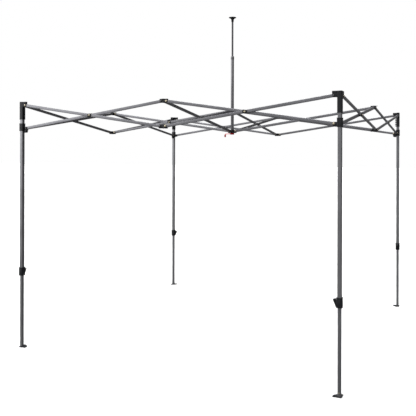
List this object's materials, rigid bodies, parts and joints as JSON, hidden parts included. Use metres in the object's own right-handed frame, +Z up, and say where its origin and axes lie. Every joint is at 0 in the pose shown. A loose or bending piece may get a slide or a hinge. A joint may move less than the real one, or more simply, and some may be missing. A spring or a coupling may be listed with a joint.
{
  "type": "pop up canopy frame",
  "caption": "Folding shelter frame: telescopic square legs, scissor truss with moulded hubs and sliders, and a telescopic peak pole; opens and folds as one linkage.",
  "frame": {"origin": "on the floor under the middle of the frame", "axes": "+Z up, +X along the front side from its left leg to its right leg, -Y out of the front side"},
  "size_m": [2.992, 2.992, 3.198],
  "materials": {
    "grey_bar_steel": "satin grey powder coat on rectangular tube, fine orange-peel grain",
    "grey_leg_steel": "satin grey powder coat on square tube, slightly darker",
    "grey_pole_steel": "satin grey powder coat on round tube",
    "black_hub_plastic": "moulded nylon, fine matt grain",
    "black_lever_plastic": "moulded nylon, smoother",
    "black_button_plastic": "semi-gloss moulded push button",
    "zinc_bolts": "yellow zinc plated bolt, nut and rivet heads",
    "red_webbing": "woven polyester pull strap"
  },
  "bodies": {
    "centre_hub_upper": {"centre_hub_upper": "black_hub_plastic"},
    "front_cross_bar_upper": {"front_cross_bar_upper": "grey_bar_steel"},
    "front_cross_bar_lower": {"front_cross_bar_lower": "grey_bar_steel"},
    "front_hub_lower": {"front_hub_lower": "black_hub_plastic"},
    "front_hub_upper": {"front_hub_upper": "black_hub_plastic"},
    "front_bar_outer_to_front_left": {"front_bar_outer_to_front_left": "grey_bar_steel"},
    "front_bar_outer_to_front_right": {"front_bar_outer_to_front_right": "grey_bar_steel"},
    "front_bar_inner_to_front_left": {"front_bar_inner_to_front_left": "grey_bar_steel"},
    "front_bar_inner_to_front_right": {"front_bar_inner_to_front_right": "grey_bar_steel"},
    "front_left_slider": {"front_left_slider": "black_hub_plastic"},
    "front_left_leg": {"front_left_outer_leg": "grey_leg_steel", "front_left_bracket": "black_hub_plastic"},
    "front_left_inner_leg": {"front_left_inner_leg": "grey_leg_steel"},
    "front_left_slider_button": {"front_left_slider_button": "black_button_plastic"},
    "front_left_leg_lock_lever": {"front_left_leg_lock_lever": "black_lever_plastic"},
    "right_cross_bar_upper": {"right_cross_bar_upper": "grey_bar_steel"},
    "right_cross_bar_lower": {"right_cross_bar_lower": "grey_bar_steel"},
    "right_hub_lower": {"right_hub_lower": "black_hub_plastic"},
    "right_hub_upper": {"right_hub_upper": "black_hub_plastic"},
    "right_bar_outer_to_front_right": {"right_bar_outer_to_front_right": "grey_bar_steel"},
    "right_bar_outer_to_back_right": {"right_bar_outer_to_back_right": "grey_bar_steel"},
    "right_bar_inner_to_front_right": {"right_bar_inner_to_front_right": "grey_bar_steel"},
    "right_bar_inner_to_back_right": {"right_bar_inner_to_back_right": "grey_bar_steel"},
    "front_right_slider": {"front_right_slider": "black_hub_plastic"},
    "front_right_leg": {"front_right_outer_leg": "grey_leg_steel", "front_right_bracket": "black_hub_plastic"},
    "front_right_inner_leg": {"front_right_inner_leg": "grey_leg_steel"},
    "front_right_slider_button": {"front_right_slider_button": "black_button_plastic"},
    "front_right_leg_lock_lever": {"front_right_leg_lock_lever": "black_lever_plastic"},
    "back_cross_bar_upper": {"back_cross_bar_upper": "grey_bar_steel"},
    "back_cross_bar_lower": {"back_cross_bar_lower": "grey_bar_steel"},
    "back_hub_lower": {"back_hub_lower": "black_hub_plastic"},
    "back_hub_upper": {"back_hub_upper": "black_hub_plastic"},
    "back_bar_outer_to_back_right": {"back_bar_outer_to_back_right": "grey_bar_steel"},
    "back_bar_outer_to_back_left": {"back_bar_outer_to_back_left": "grey_bar_steel"},
    "back_bar_inner_to_back_right": {"back_bar_inner_to_back_right": "grey_bar_steel"},
    "back_bar_inner_to_back_left": {"back_bar_inner_to_back_left": "grey_bar_steel"},
    "back_right_slider": {"back_right_slider": "black_hub_plastic"},
    "back_right_leg": {"back_right_outer_leg": "grey_leg_steel", "back_right_bracket": "black_hub_plastic"},
    "back_right_inner_leg": {"back_right_inner_leg": "grey_leg_steel"},
    "back_right_slider_button": {"back_right_slider_button": "black_button_plastic"},
    "back_right_leg_lock_lever": {"back_right_leg_lock_lever": "black_lever_plastic"},
    "left_cross_bar_upper": {"left_cross_bar_upper": "grey_bar_steel"},
    "left_cross_bar_lower": {"left_cross_bar_lower": "grey_bar_steel"},
    "left_hub_lower": {"left_hub_lower": "black_hub_plastic"},
    "left_hub_upper": {"left_hub_upper": "black_hub_plastic"},
    "left_bar_outer_to_back_left": {"left_bar_outer_to_back_left": "grey_bar_steel"},
    "left_bar_outer_to_front_left": {"left_bar_outer_to_front_left": "grey_bar_steel"},
    "left_bar_inner_to_back_left": {"left_bar_inner_to_back_left": "grey_bar_steel"},
    "left_bar_inner_to_front_left": {"left_bar_inner_to_front_left": "grey_bar_steel"},
    "back_left_slider": {"back_left_slider": "black_hub_plastic"},
    "back_left_leg": {"back_left_outer_leg": "grey_leg_steel", "back_left_bracket": "black_hub_plastic"},
    "back_left_inner_leg": {"back_left_inner_leg": "grey_leg_steel"},
    "back_left_slider_button": {"back_left_slider_button": "black_button_plastic"},
    "back_left_leg_lock_lever": {"back_left_leg_lock_lever": "black_lever_plastic"},
    "centre_hub_lower": {"centre_hub_lower": "black_hub_plastic"},
    "peak_tube": {"peak_tube": "grey_pole_steel"},
    "peak_rod": {"peak_rod": "grey_pole_steel"}
  },
  "joints": [
    {"name": "frame_fold", "type": "hinge", "parent": "centre_hub_upper", "child": "front_cross_bar_upper", "pos_m": [0, -0.0375, 2.216], "axis": [1, 0, 0], "range_deg": [0, 78.5]},
    {"name": "front_cross_bar_lower_crossing", "type": "hinge", "parent": "front_cross_bar_upper", "child": "front_cross_bar_lower", "pos_m": [0, -0.73925, 2.1125], "axis": [-1, 0, 0], "range_deg": [0, 157]},
    {"name": "front_hub_lower_turn", "type": "hinge", "parent": "front_cross_bar_upper", "child": "front_hub_lower", "pos_m": [0, -1.441, 2.009], "axis": [-1, 0, 0], "range_deg": [0, 78.5]},
    {"name": "front_hub_upper_turn", "type": "hinge", "parent": "front_cross_bar_lower", "child": "front_hub_upper", "pos_m": [0, -1.441, 2.216], "axis": [1, 0, 0], "range_deg": [0, 78.5]},
    {"name": "front_bar_outer_to_front_left_turn", "type": "hinge", "parent": "front_hub_lower", "child": "front_bar_outer_to_front_left", "pos_m": [-0.026, -1.475, 2.009], "axis": [0, 1, 0], "range_deg": [0, 78.5]},
    {"name": "front_bar_outer_to_front_right_turn", "type": "hinge", "parent": "front_hub_lower", "child": "front_bar_outer_to_front_right", "pos_m": [0.026, -1.475, 2.009], "axis": [0, -1, 0], "range_deg": [0, 78.5]},
    {"name": "front_bar_inner_to_front_left_crossing", "type": "hinge", "parent": "front_bar_outer_to_front_left", "child": "front_bar_inner_to_front_left", "pos_m": [-0.72775, -1.475, 2.1125], "axis": [0, -1, 0], "range_deg": [0, 157]},
    {"name": "front_bar_inner_to_front_right_crossing", "type": "hinge", "parent": "front_bar_outer_to_front_right", "child": "front_bar_inner_to_front_right", "pos_m": [0.72775, -1.475, 2.1125], "axis": [0, 1, 0], "range_deg": [0, 157]},
    {"name": "front_left_leg_turn", "type": "hinge", "parent": "front_bar_outer_to_front_left", "child": "front_left_leg", "pos_m": [-1.4295, -1.475, 2.216], "axis": [0, -1, 0], "range_deg": [0, 78.5]},
    {"name": "front_left_slider_turn", "type": "hinge", "parent": "front_bar_inner_to_front_left", "child": "front_left_slider", "pos_m": [-1.4295, -1.475, 2.009], "axis": [0, 1, 0], "range_deg": [0, 78.5]},
    {"name": "front_left_inner_leg_slide", "type": "slide", "parent": "front_left_leg", "child": "front_left_inner_leg", "axis": [0, 0, 1], "range_m": [0, 0.6]},
    {"name": "front_left_slider_button_press", "type": "slide", "parent": "front_left_slider", "child": "front_left_slider_button", "axis": [-1, 0, 0], "range_m": [0, 0.004], "stiffness_N_per_m": 400, "springref_m": -0.002},
    {"name": "front_left_leg_lock_lever_press", "type": "hinge", "parent": "front_left_leg", "child": "front_left_leg_lock_lever", "pos_m": [-1.475, -1.4493, 0.689], "axis": [1, 0, 0], "range_deg": [0, 12], "stiffness_Nm_per_rad": 0.6, "springref_deg": -5.73},
    {"name": "right_cross_bar_upper_turn", "type": "hinge", "parent": "centre_hub_upper", "child": "right_cross_bar_upper", "pos_m": [0.0375, 0, 2.216], "axis": [0, 1, 0], "range_deg": [0, 78.5]},
    {"name": "right_cross_bar_lower_crossing", "type": "hinge", "parent": "right_cross_bar_upper", "child": "right_cross_bar_lower", "pos_m": [0.73925, 0, 2.1125], "axis": [0, -1, 0], "range_deg": [0, 157]},
    {"name": "right_hub_lower_turn", "type": "hinge", "parent": "right_cross_bar_upper", "child": "right_hub_lower", "pos_m": [1.441, 0, 2.009], "axis": [0, -1, 0], "range_deg": [0, 78.5]},
    {"name": "right_hub_upper_turn", "type": "hinge", "parent": "right_cross_bar_lower", "child": "right_hub_upper", "pos_m": [1.441, 0, 2.216], "axis": [0, 1, 0], "range_deg": [0, 78.5]},
    {"name": "right_bar_outer_to_front_right_turn", "type": "hinge", "parent": "right_hub_lower", "child": "right_bar_outer_to_front_right", "pos_m": [1.475, -0.026, 2.009], "axis": [-1, 0, 0], "range_deg": [0, 78.5]},
    {"name": "right_bar_outer_to_back_right_turn", "type": "hinge", "parent": "right_hub_lower", "child": "right_bar_outer_to_back_right", "pos_m": [1.475, 0.026, 2.009], "axis": [1, 0, 0], "range_deg": [0, 78.5]},
    {"name": "right_bar_inner_to_front_right_crossing", "type": "hinge", "parent": "right_bar_outer_to_front_right", "child": "right_bar_inner_to_front_right", "pos_m": [1.475, -0.72775, 2.1125], "axis": [1, 0, 0], "range_deg": [0, 157]},
    {"name": "right_bar_inner_to_back_right_crossing", "type": "hinge", "parent": "right_bar_outer_to_back_right", "child": "right_bar_inner_to_back_right", "pos_m": [1.475, 0.72775, 2.1125], "axis": [-1, 0, 0], "range_deg": [0, 157]},
    {"name": "front_right_leg_turn", "type": "hinge", "parent": "right_bar_outer_to_front_right", "child": "front_right_leg", "pos_m": [1.475, -1.4295, 2.216], "axis": [1, 0, 0], "range_deg": [0, 78.5]},
    {"name": "front_right_slider_turn", "type": "hinge", "parent": "right_bar_inner_to_front_right", "child": "front_right_slider", "pos_m": [1.475, -1.4295, 2.009], "axis": [-1, 0, 0], "range_deg": [0, 78.5]},
    {"name": "front_right_inner_leg_slide", "type": "slide", "parent": "front_right_leg", "child": "front_right_inner_leg", "axis": [0, 0, 1], "range_m": [0, 0.6]},
    {"name": "front_right_slider_button_press", "type": "slide", "parent": "front_right_slider", "child": "front_right_slider_button", "axis": [0, -1, 0], "range_m": [0, 0.004], "stiffness_N_per_m": 400, "springref_m": -0.002},
    {"name": "front_right_leg_lock_lever_press", "type": "hinge", "parent": "front_right_leg", "child": "front_right_leg_lock_lever", "pos_m": [1.4493, -1.475, 0.689], "axis": [0, 1, 0], "range_deg": [0, 12], "stiffness_Nm_per_rad": 0.6, "springref_deg": -5.73},
    {"name": "back_cross_bar_upper_turn", "type": "hinge", "parent": "centre_hub_upper", "child": "back_cross_bar_upper", "pos_m": [0, 0.0375, 2.216], "axis": [-1, 0, 0], "range_deg": [0, 78.5]},
    {"name": "back_cross_bar_lower_crossing", "type": "hinge", "parent": "back_cross_bar_upper", "child": "back_cross_bar_lower", "pos_m": [0, 0.73925, 2.1125], "axis": [1, 0, 0], "range_deg": [0, 157]},
    {"name": "back_hub_lower_turn", "type": "hinge", "parent": "back_cross_bar_upper", "child": "back_hub_lower", "pos_m": [0, 1.441, 2.009], "axis": [1, 0, 0], "range_deg": [0, 78.5]},
    {"name": "back_hub_upper_turn", "type": "hinge", "parent": "back_cross_bar_lower", "child": "back_hub_upper", "pos_m": [0, 1.441, 2.216], "axis": [-1, 0, 0], "range_deg": [0, 78.5]},
    {"name": "back_bar_outer_to_back_right_turn", "type": "hinge", "parent": "back_hub_lower", "child": "back_bar_outer_to_back_right", "pos_m": [0.026, 1.475, 2.009], "axis": [0, -1, 0], "range_deg": [0, 78.5]},
    {"name": "back_bar_outer_to_back_left_turn", "type": "hinge", "parent": "back_hub_lower", "child": "back_bar_outer_to_back_left", "pos_m": [-0.026, 1.475, 2.009], "axis": [0, 1, 0], "range_deg": [0, 78.5]},
    {"name": "back_bar_inner_to_back_right_crossing", "type": "hinge", "parent": "back_bar_outer_to_back_right", "child": "back_bar_inner_to_back_right", "pos_m": [0.72775, 1.475, 2.1125], "axis": [0, 1, 0], "range_deg": [0, 157]},
    {"name": "back_bar_inner_to_back_left_crossing", "type": "hinge", "parent": "back_bar_outer_to_back_left", "child": "back_bar_inner_to_back_left", "pos_m": [-0.72775, 1.475, 2.1125], "axis": [0, -1, 0], "range_deg": [0, 157]},
    {"name": "back_right_leg_turn", "type": "hinge", "parent": "back_bar_outer_to_back_right", "child": "back_right_leg", "pos_m": [1.4295, 1.475, 2.216], "axis": [0, 1, 0], "range_deg": [0, 78.5]},
    {"name": "back_right_slider_turn", "type": "hinge", "parent": "back_bar_inner_to_back_right", "child": "back_right_slider", "pos_m": [1.4295, 1.475, 2.009], "axis": [0, -1, 0], "range_deg": [0, 78.5]},
    {"name": "back_right_inner_leg_slide", "type": "slide", "parent": "back_right_leg", "child": "back_right_inner_leg", "axis": [0, 0, 1], "range_m": [0, 0.6]},
    {"name": "back_right_slider_button_press", "type": "slide", "parent": "back_right_slider", "child": "back_right_slider_button", "axis": [1, 0, 0], "range_m": [0, 0.004], "stiffness_N_per_m": 400, "springref_m": -0.002},
    {"name": "back_right_leg_lock_lever_press", "type": "hinge", "parent": "back_right_leg", "child": "back_right_leg_lock_lever", "pos_m": [1.475, 1.4493, 0.689], "axis": [-1, 0, 0], "range_deg": [0, 12], "stiffness_Nm_per_rad": 0.6, "springref_deg": -5.73},
    {"name": "left_cross_bar_upper_turn", "type": "hinge", "parent": "centre_hub_upper", "child": "left_cross_bar_upper", "pos_m": [-0.0375, 0, 2.216], "axis": [0, -1, 0], "range_deg": [0, 78.5]},
    {"name": "left_cross_bar_lower_crossing", "type": "hinge", "parent": "left_cross_bar_upper", "child": "left_cross_bar_lower", "pos_m": [-0.73925, 0, 2.1125], "axis": [0, 1, 0], "range_deg": [0, 157]},
    {"name": "left_hub_lower_turn", "type": "hinge", "parent": "left_cross_bar_upper", "child": "left_hub_lower", "pos_m": [-1.441, 0, 2.009], "axis": [0, 1, 0], "range_deg": [0, 78.5]},
    {"name": "left_hub_upper_turn", "type": "hinge", "parent": "left_cross_bar_lower", "child": "left_hub_upper", "pos_m": [-1.441, 0, 2.216], "axis": [0, -1, 0], "range_deg": [0, 78.5]},
    {"name": "left_bar_outer_to_back_left_turn", "type": "hinge", "parent": "left_hub_lower", "child": "left_bar_outer_to_back_left", "pos_m": [-1.475, 0.026, 2.009], "axis": [1, 0, 0], "range_deg": [0, 78.5]},
    {"name": "left_bar_outer_to_front_left_turn", "type": "hinge", "parent": "left_hub_lower", "child": "left_bar_outer_to_front_left", "pos_m": [-1.475, -0.026, 2.009], "axis": [-1, 0, 0], "range_deg": [0, 78.5]},
    {"name": "left_bar_inner_to_back_left_crossing", "type": "hinge", "parent": "left_bar_outer_to_back_left", "child": "left_bar_inner_to_back_left", "pos_m": [-1.475, 0.72775, 2.1125], "axis": [-1, 0, 0], "range_deg": [0, 157]},
    {"name": "left_bar_inner_to_front_left_crossing", "type": "hinge", "parent": "left_bar_outer_to_front_left", "child": "left_bar_inner_to_front_left", "pos_m": [-1.475, -0.72775, 2.1125], "axis": [1, 0, 0], "range_deg": [0, 157]},
    {"name": "back_left_leg_turn", "type": "hinge", "parent": "left_bar_outer_to_back_left", "child": "back_left_leg", "pos_m": [-1.475, 1.4295, 2.216], "axis": [-1, 0, 0], "range_deg": [0, 78.5]},
    {"name": "back_left_slider_turn", "type": "hinge", "parent": "left_bar_inner_to_back_left", "child": "back_left_slider", "pos_m": [-1.475, 1.4295, 2.009], "axis": [1, 0, 0], "range_deg": [0, 78.5]},
    {"name": "back_left_inner_leg_slide", "type": "slide", "parent": "back_left_leg", "child": "back_left_inner_leg", "axis": [0, 0, 1], "range_m": [0, 0.6]},
    {"name": "back_left_slider_button_press", "type": "slide", "parent": "back_left_slider", "child": "back_left_slider_button", "axis": [0, 1, 0], "range_m": [0, 0.004], "stiffness_N_per_m": 400, "springref_m": -0.002},
    {"name": "back_left_leg_lock_lever_press", "type": "hinge", "parent": "back_left_leg", "child": "back_left_leg_lock_lever", "pos_m": [-1.4493, 1.475, 0.689], "axis": [0, -1, 0], "range_deg": [0, 12], "stiffness_Nm_per_rad": 0.6, "springref_deg": -5.73},
    {"name": "centre_hub_lower_turn", "type": "hinge", "parent": "front_cross_bar_lower", "child": "centre_hub_lower", "pos_m": [0, -0.0375, 2.009], "axis": [1, 0, 0], "range_deg": [0, 78.5]},
    {"name": "peak_tube_slide", "type": "slide", "parent": "centre_hub_upper", "child": "peak_tube", "axis": [0, 0, -1], "range_m": [0, 0.519]},
    {"name": "peak_rod_slide", "type": "slide", "parent": "peak_tube", "child": "peak_rod", "axis": [0, 0, -1], "range_m": [0, 0.348]}
  ],
  "couplings": [
    {"joint": "front_cross_bar_lower_crossing", "follows": "frame_fold", "ratio": 2},
    {"joint": "front_hub_lower_turn", "follows": "frame_fold", "ratio": 1},
    {"joint": "front_hub_upper_turn", "follows": "frame_fold", "ratio": 1},
    {"joint": "front_bar_outer_to_front_left_turn", "follows": "frame_fold", "ratio": 1},
    {"joint": "front_bar_outer_to_front_right_turn", "follows": "frame_fold", "ratio": 1},
    {"joint": "front_bar_inner_to_front_left_crossing", "follows": "frame_fold", "ratio": 2},
    {"joint": "front_bar_inner_to_front_right_crossing", "follows": "frame_fold", "ratio": 2},
    {"joint": "front_left_leg_turn", "follows": "frame_fold", "ratio": 1},
    {"joint": "front_left_slider_turn", "follows": "frame_fold", "ratio": 1},
    {"joint": "right_cross_bar_upper_turn", "follows": "frame_fold", "ratio": 1},
    {"joint": "right_cross_bar_lower_crossing", "follows": "frame_fold", "ratio": 2},
    {"joint": "right_hub_lower_turn", "follows": "frame_fold", "ratio": 1},
    {"joint": "right_hub_upper_turn", "follows": "frame_fold", "ratio": 1},
    {"joint": "right_bar_outer_to_front_right_turn", "follows": "frame_fold", "ratio": 1},
    {"joint": "right_bar_outer_to_back_right_turn", "follows": "frame_fold", "ratio": 1},
    {"joint": "right_bar_inner_to_front_right_crossing", "follows": "frame_fold", "ratio": 2},
    {"joint": "right_bar_inner_to_back_right_crossing", "follows": "frame_fold", "ratio": 2},
    {"joint": "front_right_leg_turn", "follows": "frame_fold", "ratio": 1},
    {"joint": "front_right_slider_turn", "follows": "frame_fold", "ratio": 1},
    {"joint": "back_cross_bar_upper_turn", "follows": "frame_fold", "ratio": 1},
    {"joint": "back_cross_bar_lower_crossing", "follows": "frame_fold", "ratio": 2},
    {"joint": "back_hub_lower_turn", "follows": "frame_fold", "ratio": 1},
    {"joint": "back_hub_upper_turn", "follows": "frame_fold", "ratio": 1},
    {"joint": "back_bar_outer_to_back_right_turn", "follows": "frame_fold", "ratio": 1},
    {"joint": "back_bar_outer_to_back_left_turn", "follows": "frame_fold", "ratio": 1},
    {"joint": "back_bar_inner_to_back_right_crossing", "follows": "frame_fold", "ratio": 2},
    {"joint": "back_bar_inner_to_back_left_crossing", "follows": "frame_fold", "ratio": 2},
    {"joint": "back_right_leg_turn", "follows": "frame_fold", "ratio": 1},
    {"joint": "back_right_slider_turn", "follows": "frame_fold", "ratio": 1},
    {"joint": "left_cross_bar_upper_turn", "follows": "frame_fold", "ratio": 1},
    {"joint": "left_cross_bar_lower_crossing", "follows": "frame_fold", "ratio": 2},
    {"joint": "left_hub_lower_turn", "follows": "frame_fold", "ratio": 1},
    {"joint": "left_hub_upper_turn", "follows": "frame_fold", "ratio": 1},
    {"joint": "left_bar_outer_to_back_left_turn", "follows": "frame_fold", "ratio": 1},
    {"joint": "left_bar_outer_to_front_left_turn", "follows": "frame_fold", "ratio": 1},
    {"joint": "left_bar_inner_to_back_left_crossing", "follows": "frame_fold", "ratio": 2},
    {"joint": "left_bar_inner_to_front_left_crossing", "follows": "frame_fold", "ratio": 2},
    {"joint": "back_left_leg_turn", "follows": "frame_fold", "ratio": 1},
    {"joint": "back_left_slider_turn", "follows": "frame_fold", "ratio": 1},
    {"joint": "centre_hub_lower_turn", "follows": "frame_fold", "ratio": 1}
  ]
}
